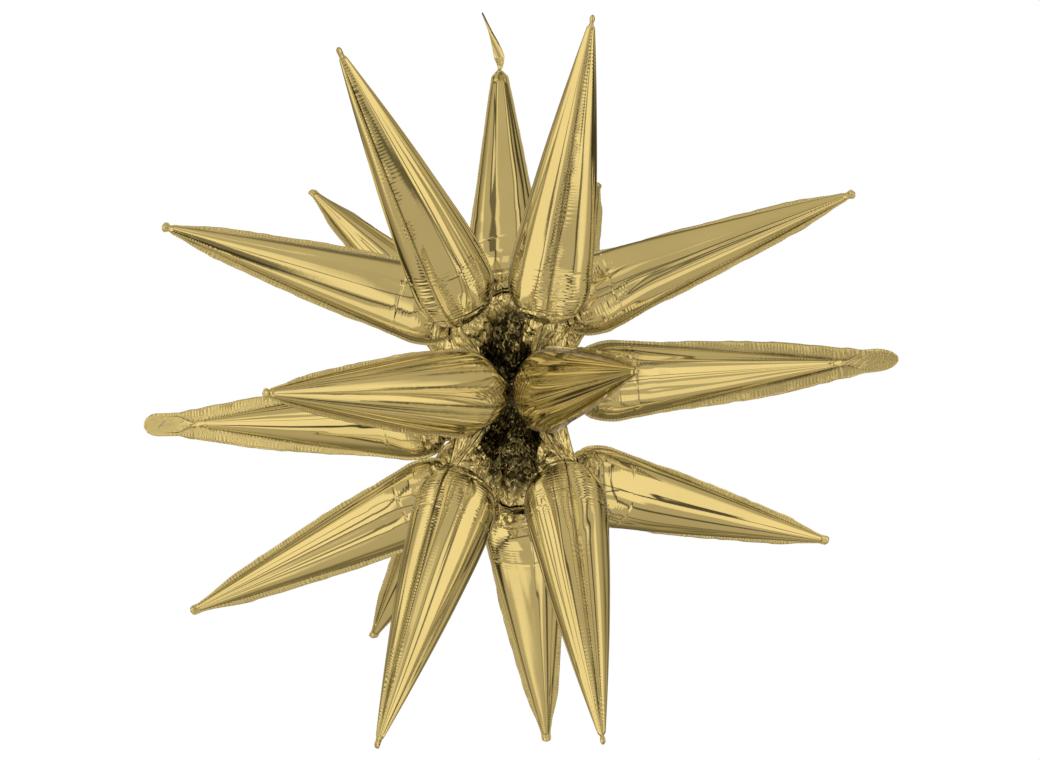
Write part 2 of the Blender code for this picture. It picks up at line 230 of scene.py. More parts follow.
# Filling neck and tail
NECK = "middle_top"
NECK_HALF_WIDTH = 5.6 * MM
NECK_HALF_HEIGHT = 2.4 * MM
NECK_SEAM = 1.8 * MM
NECK_CLOSE_FROM_END = 20.0 * MM
NECK_CLOSE = 18.0 * MM
NECK_PINCH = 0.45
NECK_PINCH_LENGTH = 8.0 * MM
# Painted shade standing in for the dark opening where the tail leaves the neck; the film has no
# hole there
NECK_SHADE_FROM_END = 4.5 * MM
NECK_SHADE_HALF_HEIGHT = 2.6 * MM
NECK_SHADE_HALF_SHARE = 0.30
NECK_SHADE_OFF_CENTRE = 0.1

# Filling tail; its half widths in millimetres go with their share of its length
TAIL_ROWS = 90
TAIL_COLUMNS = 18
TAIL_START = 1.5 * MM
TAIL_FIRST_TURN = -0.25
TAIL_TWIST = math.radians(72)
TAIL_CURL = 4.0 * MM
TAIL_DOME = 0.55
TAIL_FOLD = 0.20
TAIL_SWELL = 0.10
TAIL_SHADE = 0.90
TAIL_WIDTHS = (
    (0.0, 2.0),
    (0.10, 3.6),
    (0.21, 5.2),
    (0.42, 3.9),
    (0.70, 2.3),
    (0.94, 1.3),
    (1.0, 0.7),
)

# Gathers beside the seams near the base: their strength on each spike
GATHERED = {
    "front_upper_left": 1.0,
    "front_upper_right": 1.0,
    "front_lower_left": 0.8,
    "front_lower_right": 0.8,
    "middle_upper_right": 0.9,
    "middle_bottom": 0.5,
}
FAINT_GATHERS = 0.25
GATHER_PITCH = 3.0 * MM
GATHER_DEPTH = 0.42 * MM
GATHER_SHARE = 0.24
# Bands of gathers: their middle across the sheet and their reach, as shares of its arc
GATHER_BANDS = ((0.10, 0.17), (0.90, 0.17), (0.34, 0.10), (0.66, 0.10))

# Crumple
CRUMPLE_SIZE = 11.0 * MM
CRUMPLE_HEIGHT = 2.6 * MM
COLLAR_SHARE = 0.8

# Hub sheets. A web's sag is (least, more at a full gap) as a share of the way to the centre.
HUB_ARM_SPREAD = math.radians(21)
GAS_PORT_RADIUS = 4.0 * MM
STAR_SPACING = 3.0 * MM
STAR_TURN = {"front": 0.0, "middle": math.radians(30), "rear": 0.0}
RAY_FINENESS = 7.0
RAY_LENGTH = 34.0 * MM
WEB_SAG = {"front": (0.03, 0.26), "middle": (0.01, 0.16), "rear": (0.03, 0.22)}
WEB_FULL_GAP = 110.0 * MM
# The front star's webs above and below its middle, as their place round the hub: they leave the
# middle star's top and bottom spikes in view
OPEN_WEBS = (("front", 1), ("front", 4))
OPEN_SAG = 0.52
SHADE_HALF_SIZE = (46.0 * MM, 62.0 * MM, 96.0 * MM)

# Film colours, with painted shade and glints deep between the stars and painted shade at the film's
# outline
GOLD = (0.89, 0.68, 0.255)
MIRRORED = (0.86, 0.84, 0.78)
FACET_DENSITY = 230.0
DEEP_SHADE = 0.04
DEEP_FACET = 0.30
DEEP_GLINT = 0.70
DEEP_MIRRORED = 0.40
EDGE_SHADE = 0.32
EDGE_TINT = (0.58, 0.52, 0.38, 1.0)
PLEATED_EDGE_TINT = (0.70, 0.60, 0.38, 1.0)
FILM_ROUGHNESS = 0.07
SEAM_ROUGHNESS = 0.16
CRINKLE_DENSITY = 170.0
STIPPLE_DENSITY = 850.0

# Camera and floor
CAMERA_OFFSET = (0.0073, -2.6, 0.0164)
CAMERA_ANGLE = math.radians(20.6)
SENSOR_WIDTH = 36.0
FLOOR_SIZE = 12.0
FLOOR_DROP = 0.12

# Studio light
FRONT_LIGHT = 0.52
BEHIND_LIGHT = 0.24
ABOVE_LIGHT = 1.05
BELOW_LIGHT = 0.95
CAMERA_LIGHT = 0.75
GAP_SOFTNESS = 0.03
# Light boxes in degrees: azimuth from the camera toward +X, half width, low edge, high edge; then
# brightness, and soft edge in degrees
BOXES = (
    (-70.0, 56.0, -32.0, 50.0, 1.00, 18.0),
    (61.0, 50.0, -27.0, 46.0, 1.00, 18.0),
    (-58.0, 38.0, -78.0, -37.0, 0.92, 12.0),
    (44.0, 36.0, -72.0, -31.0, 0.92, 12.0),
    (-8.0, 16.0, 28.0, 52.0, 0.80, 8.0),
    (75.0, 32.0, 52.0, 72.0, 0.88, 6.0),
    (-62.0, 36.0, 55.0, 74.0, 0.88, 6.0),
    (160.0, 18.0, -25.0, 50.0, 0.85, 8.0),
    (-150.0, 16.0, -25.0, 60.0, 0.85, 8.0),
)
# Dark gaps between light panels: normal of the plane, its offset, half width and brightness
GAPS = (
    ((1.0, 0.0, 0.10), 0.66, 0.024, 0.20),
    ((1.0, 0.0, -0.15), -0.62, 0.024, 0.20),
    ((0.25, 0.0, 1.0), 0.16, 0.014, 0.30),
    ((1.0, 0.0, 0.0), 0.30, 0.012, 0.35),
    ((-0.3, 0.0, 1.0), -0.34, 0.018, 0.25),
)


def smooth(t):
    """Zero to one with level ends."""
    t = np.clip(t, 0.0, 1.0)
    return t * t * (3.0 - 2.0 * t)


def mix(a, b, t):
    """From a to b as t goes from zero to one."""
    return a + (b - a) * t


def unit(v):
    return v / np.linalg.norm(v, axis=-1, keepdims=True)


class Noise:
    """Smooth value noise in two or three dimensions on a repeating table, from -1 to 1."""

    SIZE = 32

    def __init__(self, seed):
        self.table = np.random.default_rng(seed).random((self.SIZE, self.SIZE, self.SIZE))

    def __call__(self, u, v, w=0.0):
        u, v, w = np.broadcast_arrays(*(np.asarray(c, float) for c in (u, v, w)))
        total = np.zeros(u.shape)
        cell = [np.floor(c).astype(int) for c in (u, v, w)]
        part = [smooth(c - i) for c, i in zip((u, v, w), cell)]
        for corner in range(8):
            step = [(corner >> k) & 1 for k in range(3)]
            weight = 1.0
            for k in range(3):
                weight = weight * (part[k] if step[k] else 1.0 - part[k])
            spot = tuple((cell[k] + step[k]) % self.SIZE for k in range(3))
            total += weight * self.table[spot]
        return total * 2.0 - 1.0

    def ridged(self, u, v, w=0.0, octaves=3):
        """Folded noise with sharp crests, as in crumpled film."""
        total = 0.0
        weight = 1.0
        for octave in range(octaves):
            scale = 2.0**octave
            value = self(u * scale + 7.3 * octave, v * scale, w * scale)
            total = total + weight * (1.0 - 2.5 * np.abs(value))
            weight *= 0.5
        return total / 1.75


CRUMPLE = Noise(SEED)


def crumple(points, size=CRUMPLE_SIZE):
    """Height of crumpled film at points in space, about -1 to 1; neighbours share it."""
    q = points / size + 100.0
    return CRUMPLE.ridged(q[..., 0], q[..., 1], q[..., 2])


def node_points(node):
    mesh = frame["nodes"][node].data
    points = np.zeros(len(mesh.vertices) * 3, np.float32)
    mesh.vertices.foreach_get("co", points)
    return points.reshape(-1, 3).astype(float)


def box_middle(node):
    low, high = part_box(node)
    return 0.5 * (np.array(low) + np.array(high))


class Spike:
    """Axes, length and fullest radius of one spike, read from the frame."""

    def __init__(self, name, joint, index):
        self.name = name
        self.index = index
        self.star = name.split("_")[0]
        self.body = joint["child"]
        self.root = np.array(joint["pos_m"], float)
        self.width = unit(np.array(joint["axis"], float))
        points = np.concatenate([node_points(n) for n in self.nodes()])
        reach = np.linalg.norm(points - self.root, axis=1)
        tip = points[reach > reach.max() - 0.5 * MM].mean(axis=0)
        self.length = float(np.linalg.norm(tip - self.root))
        self.axis = unit(tip - self.root)
        self.face = np.cross(self.width, self.axis)
        self.radius = float(np.abs((points - self.root) @ self.face).max())
        self.pleated = name in PLEATED
        self.columns = PLEATED_COLUMNS if self.pleated else ARC_COLUMNS
        self.first_row = {}
        self.creases = []
        self.start = -PLEAT_BACK.get(name, 0.0)
        self.shared_noise = Noise(SEED * 100 + index)

    def nodes(self):
        return [f"{self.name}_spike_{side}_sheet" for side, _ in SIDES]

    def seed(self, side):
        return SEED + 10 * self.index + (0 if side > 0 else 1)

    def rows(self):
        """Places of the grid's rows along the spike, closer together near its base."""
        base = int((BASE_ROWS_TO - self.start) / BASE_ROW_PITCH)
        rest = int((self.length - BASE_ROWS_TO) / ROW_PITCH)
        near = np.linspace(self.start, BASE_ROWS_TO, base, endpoint=False)
        return np.concatenate([near, np.linspace(BASE_ROWS_TO, self.length, rest + 1)])

    def world(self, local):
        """Points of the frame from (across, along, out) of the spike, rolled about its length."""
        turned = smooth((local[..., 1:2] - ROLL_FROM) / (ROLL_TO - ROLL_FROM))
        angle = math.radians(ROLLS.get(self.name, 0.0)) * turned
        x = local[..., 0:1] * np.cos(angle) - local[..., 2:3] * np.sin(angle)
        z = local[..., 0:1] * np.sin(angle) + local[..., 2:3] * np.cos(angle)
        return self.root + x * self.width + local[..., 1:2] * self.axis + z * self.face


def read_spikes():
    spikes = {}
    for index, joint in enumerate(frame["joints"]):
        if joint["name"].endswith("_flex"):
            name = joint["name"][: -len("_flex")]
            spikes[name] = Spike(name, joint, index)
    return spikes


# Outline of a spike


def swollen(spike, s, end, end_half_width):
    """(half width, bulge) of the swollen part along a spike."""
    rise = np.clip((s - spike.start) / (SHOULDER_AT - spike.start), 0.0, 1.0)
    u = np.clip((s - SHOULDER_AT) / (end - SHOULDER_AT), 0.0, 1.0)
    taper = mix(spike.radius, end_half_width, u ** TAPER[spike.star])
    dome = np.sqrt(np.clip(1.0 - (1.0 - rise) ** DOME_ROUNDNESS, 0.0, 1.0))
    if spike.pleated:
        widened = 1.0 - (1.0 - rise) ** PLEATED_WIDTH_ROUNDNESS
        raised = (1.0 - (1.0 - rise) ** 2) ** PLEATED_BULGE_ROUNDNESS
        half = mix(PLEAT_END_HALF_WIDTH, spike.radius, widened)
        bulge = mix(PLEAT_END_HALF_HEIGHT, spike.radius, raised)
    else:
        half = mix(THROAT_HALF_WIDTH, spike.radius, dome)
        bulge = mix(THROAT_HALF_HEIGHT, spike.radius, dome**DOME_BULGE_LAG)
    half = np.where(s < SHOULDER_AT, half, taper)
    bulge = np.where(s < SHOULDER_AT, bulge, taper)
    return half, bulge * PLEATED_BULGE.get(spike.name, 1.0)


def hanging_oval(spike, s):
    """How much of a hanging tab's flat oval there is along its spike."""
    return smooth((s - spike.length + HANG_TAB - HANG_OVAL_FROM) / HANG_OVAL_FADE)


def hanging_outline(spike, s, seam):
    """Outline that ends in a flat tab with an oval end."""
    end = spike.length - HANG_TAB
    half, bulge = swollen(spike, s, end, HANG_CORE)
    bulge = bulge * (1.0 - smooth((s - end + HANG_CLOSE) / HANG_CLOSE))
    seam = mix(seam, HANG_SEAM, smooth((s - HANG_SEAM_FROM) / HANG_SEAM_FADE))
    oval = hanging_oval(spike, s)
    half = mix(half, HANG_OVAL, oval)
    seam = mix(seam, HANG_RIM, oval)
    rounding = HANG_ROUNDING[spike.name]
    round_off = np.clip((s - (spike.length - rounding)) / rounding, 0.0, 1.0)
    shrink = np.sqrt(np.clip(1.0 - round_off**2.4, 0.02, 1.0))
    half = half * shrink
    return half, bulge, seam * shrink


def neck_outline(spike, s, seam):
    """Outline that ends in the narrow filling neck."""
    half, bulge = swollen(spike, s, spike.length, NECK_HALF_WIDTH)
    close = smooth((s - (spike.length - NECK_CLOSE_FROM_END)) / NECK_CLOSE)
    bulge = mix(bulge, NECK_HALF_HEIGHT, close)
    seam = mix(seam, NECK_SEAM, smooth((s - 50 * MM) / (90 * MM)))
    near_end = smooth((s - (spike.length - NECK_PINCH_LENGTH)) / NECK_PINCH_LENGTH)
    pinch = 1.0 - NECK_PINCH * near_end**1.5
    return half * pinch, bulge, seam * pinch


def plain_outline(spike, s, seam):
    """Outline that ends in a pinched tip."""
    end = spike.length - KNOB_LENGTH
    half, bulge = swollen(spike, s, end, TIP_HALF_WIDTH)
    waist = smooth((s - (end - WAIST_LENGTH)) / WAIST_LENGTH)
    knob = smooth((s - end) / (0.45 * KNOB_LENGTH))
    strength = KNOBS.get(spike.name, PLAIN_KNOB)
    narrow = mix(KNOB_HALF_WIDTH, WAIST_HALF_WIDTH, strength)
    half = mix(half, mix(narrow, KNOB_HALF_WIDTH, knob), waist)
    bulge = mix(bulge, mix(0.7, 1.0, knob) * KNOB_HALF_HEIGHT, waist)
    narrowing = smooth((s - (spike.length - TIP_SEAM_FROM_END)) / TIP_SEAM_FADE)
    seam = mix(seam, TIP_SEAM, narrowing)
    seam = mix(seam, mix(mix(KNOB_SEAM, WAIST_SEAM, strength), KNOB_SEAM, knob), waist)
    round_off = np.clip((s - (spike.length - TIP_ROUNDING)) / TIP_ROUNDING, 0.0, 1.0)
    shrink = np.sqrt(np.clip(1.0 - round_off**2.0, 0.03, 1.0))
    return half * shrink, bulge * shrink, seam * shrink


def outline(spike, s):
    """(half width, bulge, seam width) along a spike."""
    widening = smooth((s - 60 * MM) / (60 * MM))
    seam = mix(SEAM_WIDTH_AT_BASE, SEAM_WIDTH[spike.star], widening)
    if spike.name in HANGING:
        return hanging_outline(spike, s, seam)
    if spike.name == NECK:
        return neck_outline(spike, s, seam)
    return plain_outline(spike, s, seam)


# Relief of a spike sheet


def panel_sections(spike, s, rng, noise):
    """Arc part of every section as shares of (half width, bulge).

    Each panel between two creases swells beyond the round section where its flatness is negative.
    """
    panels = PLEATS if spike.pleated else int(rng.integers(*PANELS))
    shares = rng.uniform(*PANEL_SHARES, panels)
    edges = np.concatenate([[0.0], np.cumsum(shares) / shares.sum()])
    columns = np.round(edges * spike.columns).astype(int)
    spike.creases = columns[1:-1]
    if spike.pleated:
        flatness = rng.uniform(*PLEAT_FLATNESS, panels)
        fade = 0.55 + 0.45 * smooth((s - spike.start) / (40 * MM))
    else:
        flatness = rng.uniform(*PANEL_FLATNESS, panels)
        fade = 0.15 + 0.85 * smooth((s - 16 * MM) / (44 * MM))
    slow = PLEAT_SLOWNESS if spike.pleated else 1.0
    drift_at = s / (slow * CREASE_DRIFT_LENGTH)
    swing_at = s / (slow * CREASE_SWING_LENGTH)
    across = np.zeros((len(s), spike.columns + 1))
    up = np.zeros_like(across)
    for panel in range(panels):
        first, last = columns[panel], columns[panel + 1]
        if last <= first:
            continue
        share = np.arange(last - first + 1) / (last - first)
        ends = []
        for edge in (panel, panel + 1):
            inner = 0 < edge < panels
            drift = CREASE_DRIFT * noise(drift_at + 3.7 * edge, 0.5 + edge) * inner
            swing = 1.0 + CREASE_SWING * noise(swing_at + 1.3 * edge, 9.5 + edge) * inner
            angle = edges[edge] * math.pi + drift
            ends.append((angle, -np.cos(angle) * swing, np.sin(angle) * swing))
        angle = mix(ends[0][0][:, None], ends[1][0][:, None], share)
        flat = flatness[panel] * fade[:, None]
        chord_across = mix(ends[0][1][:, None], ends[1][1][:, None], share)
        chord_up = mix(ends[0][2][:, None], ends[1][2][:, None], share)
        across[:, first : last + 1] = mix(-np.cos(angle), chord_across, flat)
        up[:, first : last + 1] = mix(np.sin(angle), chord_up, flat)
    return across, up


def column_shares(spike):
    return np.linspace(0.0, 1.0, spike.columns + 1)[None, :]


def chevron_phase(spike, s, half, noise):
    """(fold count, strength) of the nested folds where the pleats part round the start."""
    u = column_shares(spike)
    x = np.abs(2.0 * u - 1.0) * half[:, None]
    reach = s[:, None] - spike.start + CHEVRON_SLANT * x
    reach = reach + CHEVRON_WANDER * noise(u * 5.0, s[:, None] / (14 * MM))
    last = CHEVRON_REACH[spike.name]
    near = smooth((last - reach) / CHEVRON_FADE) * smooth((reach - CHEVRON_FROM) / CHEVRON_FROM)
    return reach / CHEVRON_PITCH, near


def chevrons(spike, s, half, noise):
    """Relief of the nested folds."""
    phase, near = chevron_phase(spike, s, half, noise)
    return near * CHEVRON_HEIGHT * (np.abs(np.sin(math.pi * phase)) - 0.5)


def gathers(spike, s, noise):
    """Close-set cross folds beside the seams near the base."""
    u = column_shares(spike)
    along = s[:, None]
    strength = GATHERED.get(spike.name, FAINT_GATHERS)
    field = np.zeros((len(s), u.shape[1]))
    for centre, reach in GATHER_BANDS:
        edge = reach * (0.75 + 0.45 * noise(along / (12 * MM), centre * 30.0))
        across = smooth((edge - np.abs(u - centre)) / (0.05))
        window = smooth((along - 13 * MM) / (3 * MM)) * smooth((70 * MM - along) / (30 * MM))
        phase = along / GATHER_PITCH + 0.25 * noise(u * 6.0, along / (20 * MM)) + centre
        groove = np.exp(-(((phase - np.round(phase)) / GATHER_SHARE) ** 2))
        depth = 0.6 + 0.5 * noise(np.round(phase) * 1.3, u * 5.0 + centre)
        field -= strength * window * across * groove * depth * GATHER_DEPTH
    return field


def rings(spike, s, noise):
    """Creases round the base: the cap line and a fainter one beyond it."""
    u = column_shares(spike)
    field = 0.0
    for place, depth in ((CAP_LINE_AT, CAP_LINE_DEPTH), (RING_AT, RING_DEPTH)):
        wander = RING_WANDER * noise(u * 3.0, place * 900.0)
        distance = np.abs(s[:, None] - place - wander)
        field = field - depth * np.clip(1.0 - distance / RING_HALF_WIDTH, 0.0, 1.0)
    return field


def streaks(spike, s, half, noise):
    """Faint lengthwise creases and unevenness of the film."""
    u = column_shares(spike)
    along = s[:, None]
    wave = 0.6 * noise(u * 9.0, along / (85 * MM)) + noise(u * 4.0, along / (60 * MM), 3.0)
    crease = 1.0 - np.abs(noise(u * 4.0 + 40.0, along / (150 * MM), 8.0)) * 6.0
    fade = smooth((along - 16 * MM) / (20 * MM))
    return STREAK_HEIGHT * (wave - np.clip(crease, 0.0, 1.0)) * half[:, None] * fade


def seam_wave(s, noise, shift):
    """Uneven ripple along a seam."""
    phase = s / RUFFLE_PITCH + 1.2 * noise(s / (16 * MM) + shift, shift)
    strength = 0.6 + 0.5 * noise(s / (9 * MM), shift + 5.0)
    return np.sin(2.0 * math.pi * phase) * strength


def grid_normals(points):
    along = np.gradient(points, axis=0)
    across = np.gradient(points, axis=1)
    return unit(np.cross(across, along) + 1e-15)


def seam_strip(s, half, seam, wave, noise, sign, flat):
    """Local points of one flat, ruffled seam strip, from the swollen part outwards."""
    share = np.arange(1, SEAM_COLUMNS + 1) / SEAM_COLUMNS
    width = seam + np.minimum(0.10 * seam, SEAM_UNEVENNESS) * noise(s / (8 * MM), 20.0 + sign)
    x = sign * (half[:, None] + width[:, None] * share)
    z = RUFFLE_HEIGHT * (wave * flat)[:, None] * share**1.2
    y = np.repeat(s[:, None], SEAM_COLUMNS, axis=1)
    return np.stack([x, y, z], axis=-1)


def tab_creases(spike, s, x):
    """Small folds where the swollen core runs out, and the low dome of the tab's oval."""
    end = spike.length - HANG_TAB
    near = smooth(1.0 - np.abs(s - end - HANG_FOLDS_AT) / HANG_FOLDS_REACH)
    q = (s * 0.75 + x * 1.4) / HANG_FOLD_PITCH
    folds = spike.shared_noise.ridged(q, x / (9 * MM) + 4.0, 2.0, octaves=2)
    across = np.clip(1.0 - (x / HANG_DOME_HALF_WIDTH) ** 2, 0.0, 1.0)
    dome = HANG_DOME * smooth((s - end) / (12 * MM)) * across
    return HANG_FOLD_HEIGHT * near * folds + dome


def spike_grid(spike, side):
    """(points, seam share, shade) of one spike sheet, rows from its start to the tip."""
    rng = np.random.default_rng(spike.seed(side))
    noise = Noise(spike.seed(side) + 1)
    shared = spike.shared_noise
    s = spike.rows()
    half, bulge, seam = outline(spike, s)
    near = 1.0 - smooth((s - PRESSED_TO) / PRESSED_FADE)
    half = half * (1.0 - NARROWED.get(spike.name, 0.0) * near)
    bulge = bulge * (1.0 - PRESSED.get((spike.name, side), 0.0) * near)
    across, up = panel_sections(spike, s, rng, noise)
    x = across * half[:, None]
    y = np.repeat(s[:, None], spike.columns + 1, axis=1)
    z = up * bulge[:, None]
    arc = np.stack([x, y, z], axis=-1)
    normal = grid_normals(arc)
    tip_fade = smooth((spike.length - 10 * MM - s) / (14 * MM))[:, None]
    lift = streaks(spike, s, half, noise)
    if spike.pleated:
        lift = 0.35 * lift + chevrons(spike, s, half, noise)
    else:
        lift = lift + rings(spike, s, noise) + gathers(spike, s, noise)
    lift = lift * tip_fade
    column = np.arange(spike.columns + 1)
    edge = np.minimum(column, spike.columns - column)
    distance = edge[None, :] * (math.pi * half[:, None] / spike.columns)
    lift = lift * smooth(distance / (3 * MM))
    strips = []
    for end, sign in ((0, -1.0), (1, 1.0)):
        wave = seam_wave(s, shared, 3.0 + 10.0 * end)
        flat = smooth((s - spike.start) / (6 * MM))
        strips.append(seam_strip(s, half, seam, wave, shared, sign, flat))
        from_edge = column if end == 0 else spike.columns - column
        gap = from_edge[None, :] * (math.pi * half[:, None] / spike.columns)
        reach = np.exp(-gap / PUCKER_REACH) * smooth(gap / (0.8 * MM))
        lift = lift + PUCKER_HEIGHT * wave[:, None] * reach * tip_fade
    arc = arc + normal * lift[..., None]
    local = np.concatenate([strips[0][:, ::-1], arc, strips[1]], axis=1)
    is_strip = np.zeros(local.shape[1], bool)
    is_strip[:SEAM_COLUMNS] = True
    is_strip[-SEAM_COLUMNS:] = True
    common = np.zeros_like(local[..., 2])
    if spike.name in HANGING:
        common = tab_creases(spike, local[..., 1], local[..., 0])
    swell = np.where(is_strip[None, :], side * local[..., 2], local[..., 2])
    local[..., 2] = common + side * (swell + FILM_LIFT)
    points = spike.world(local)
    if not spike.pleated:
        points = points + crumpled_collar(spike, s, points, local)
    sealed = np.broadcast_to(is_strip.astype(float), points.shape[:2])
    if spike.name in HANGING:
        sealed = np.maximum(sealed, HANG_MATT * hanging_oval(spike, s)[:, None])
    shade = crevice_shade(spike, s, half, distance, noise)
    if spike.name == SLIT_SPIKE:
        shade = np.maximum(shade, slit_shade(spike, local))
    return points, sealed, shade


def crevice_shade(spike, s, half, distance, noise):
    """Shade where the swollen film meets its seam strip, and in the folds of a pleated sheet."""
    along = s[:, None]
    uneven = 0.65 + 0.6 * noise(along / (38 * MM), 0.5, 4.0)
    reach = np.exp(-((distance / CREVICE_REACH) ** 2))
    fade = smooth((spike.length - 14 * MM - along) / (20 * MM))
    arc = CREVICE_SHADE * np.clip(uneven, 0.0, 1.0) * reach * fade
    arc = arc * smooth((along - spike.start - 8 * MM) / (14 * MM))
    if spike.name == NECK:
        arc = np.maximum(arc, neck_opening_shade(spike, along))
    strip = arc[:, :1] * np.ones((1, SEAM_COLUMNS)) * CREVICE_SHADE_ON_SEAM
    if spike.pleated:
        column = np.arange(spike.columns + 1)[None, :]
        phase, near = chevron_phase(spike, s, half, noise)
        clear = 1.0 - near
        for crease in spike.creases:
            line = np.exp(-(((column - crease) / PLEAT_LINE_COLUMNS) ** 2))
            broken = 0.5 + 0.7 * noise(along / (50 * MM), 0.3 * crease, 11.0)
            arc = np.maximum(arc, PLEAT_SHADE * line * np.clip(broken, 0.0, 1.0) * fade * clear)
        line = np.exp(-(((phase - np.round(phase)) / CHEVRON_LINE_SHARE) ** 2))
        arc = np.maximum(arc, CHEVRON_SHADE * line * near)
    return np.concatenate([strip, arc, strip], axis=1)


def neck_opening_shade(spike, along):
    """Painted shade standing in for the small dark opening where the tail leaves the neck."""
    across = np.linspace(-1.0, 1.0, spike.columns + 1)[None, :] - NECK_SHADE_OFF_CENTRE
    off = (spike.length - along - NECK_SHADE_FROM_END) / NECK_SHADE_HALF_HEIGHT
    return np.exp(-((across / NECK_SHADE_HALF_SHARE) ** 2) - off**2)


def slit_shade(spike, local):
    """Shade along the lips of the hanging slit."""
    x = local[..., 0]
    y = local[..., 1] - (spike.length - SLIT_FROM_END)
    along = x * math.cos(SLIT_TURN) + y * math.sin(SLIT_TURN)
    off = y * math.cos(SLIT_TURN) - x * math.sin(SLIT_TURN)
    ends = smooth((0.5 * SLIT_LENGTH + 0.5 * MM - np.abs(along)) / MM)
    return SLIT_SHADE * ends * np.exp(-((off / SLIT_SHADE_REACH) ** 2))


def crumpled_collar(spike, s, points, local):
    """Crumple between the start of a sheet and its cap line."""
    outward = unit(local[..., 0:1] * spike.width + 1.6 * local[..., 2:3] * spike.face + 1e-9)
    window = smooth((CAP_LINE_AT + 5 * MM - s) / (8 * MM))[:, None]
    edge = np.minimum(np.arange(local.shape[1]), local.shape[1] - 1 - np.arange(local.shape[1]))
    inner = smooth((edge - 1.0) / 6.0)[None, :]
    height = COLLAR_SHARE * CRUMPLE_HEIGHT * crumple(points) * window * inner
    return outward * height[..., None]


# Meshes


def grid_object(name, points, outward, material, seam, shade, closed=False):
    """Object from a grid of points; outward is 1 if rows by columns already face outwards.

    The shares of heat seal and of shade are kept with the points for the film's material.
    """
    rows, columns = points.shape[:2]
    mesh = bpy.data.meshes.new(name)
    index = np.arange(rows * columns).reshape(rows, columns)
    if closed:
        index = np.concatenate([index, index[:, :1]], axis=1)
    a, b, c, d = index[:-1, :-1], index[:-1, 1:], index[1:, 1:], index[1:, :-1]
    order = (a, b, c, d) if outward > 0 else (a, d, c, b)
    faces = np.stack(order, axis=-1).reshape(-1, 4)
    mesh.vertices.add(rows * columns)
    mesh.vertices.foreach_set("co", points.reshape(-1, 3).astype(np.float32).ravel())
    mesh.loops.add(faces.size)
    mesh.loops.foreach_set("vertex_index", faces.astype(np.int32).ravel())
    mesh.polygons.add(len(faces))
    mesh.polygons.foreach_set("loop_start", np.arange(0, faces.size, 4, dtype=np.int32))
    mesh.update(calc_edges=True)
    mesh.shade_smooth()
    mesh.set_sharp_from_angle(angle=SHARP_FOLD)
    add_attribute(mesh, "seam", np.broadcast_to(seam, (rows, columns)))
    add_attribute(mesh, "shade", shade)
    item = bpy.data.objects.new(name, mesh)
    bpy.context.scene.collection.objects.link(item)
    item.data.materials.append(material)
    film = item.modifiers.new("film", "SOLIDIFY")
    film.thickness = FILM_THICKNESS
    film.offset = 0.0
    return item


def add_attribute(mesh, name, values):
    attribute = mesh.attributes.new(name, "FLOAT", "POINT")
    attribute.data.foreach_set("value", values.astype(np.float32).ravel())


def cut_slit(item, spike):
    """Cuts the slanted hanging slit through one film of a tab."""
    bm = bmesh.new()
    bm.from_mesh(item.data)
    frame_of = np.array([spike.width, spike.axis, spike.face])
    centre = spike.world(np.array([0.0, spike.length - SLIT_FROM_END, 0.0]))
    long_way = np.array([math.cos(SLIT_TURN), math.sin(SLIT_TURN), 0.0]) @ frame_of
    wide_way = np.array([-math.sin(SLIT_TURN), math.cos(SLIT_TURN), 0.0]) @ frame_of
    limits = ((long_way, 0.5 * SLIT_LENGTH), (wide_way, 0.5 * SLIT_WIDTH))

    def inside(face, slack):
        offset = np.array(face.calc_center_median()) - centre
        return all(abs(offset @ way) < half + slack for way, half in limits)

    for way, half in limits:
        for sign in (-1.0, 1.0):
            near = [face for face in bm.faces if inside(face, 3.0 * MM)]
            edges = {edge for face in near for edge in face.edges}
            points = {vertex for face in near for vertex in face.verts}
            bmesh.ops.bisect_plane(
                bm,
                geom=[*near, *edges, *points],
                plane_co=centre + sign * half * way,
                plane_no=way,
            )
    holes = [face for face in bm.faces if inside(face, 0.0)]
    bmesh.ops.delete(bm, geom=holes, context="FACES")
    bm.to_mesh(item.data)
    bm.free()


def build_spike(spike, materials):
    """Both sheets of a spike in place of the frame's."""
    for side_name, side in SIDES:
        node = f"{spike.name}_spike_{side_name}_sheet"
        points, seam, shade = spike_grid(spike, side)
        spike.first_row[side] = points[0]
        material = materials["pleated" if spike.pleated else spike.star]
        item = grid_object(f"{node}_film", points, side, material, seam, shade)
        if spike.name == SLIT_SPIKE:
            cut_slit(item, spike)
        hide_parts(node)
        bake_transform(item)


# Filling tail, valve and bond rings


def tail_shares():
    """(share along, share across from -1 to 1) of the points of a ply of the filling tail."""
    along = np.linspace(0.0, 1.0, TAIL_ROWS + 1)[:, None]
    across = np.linspace(-1.0, 1.0, TAIL_COLUMNS + 1)[None, :]
    return along, across


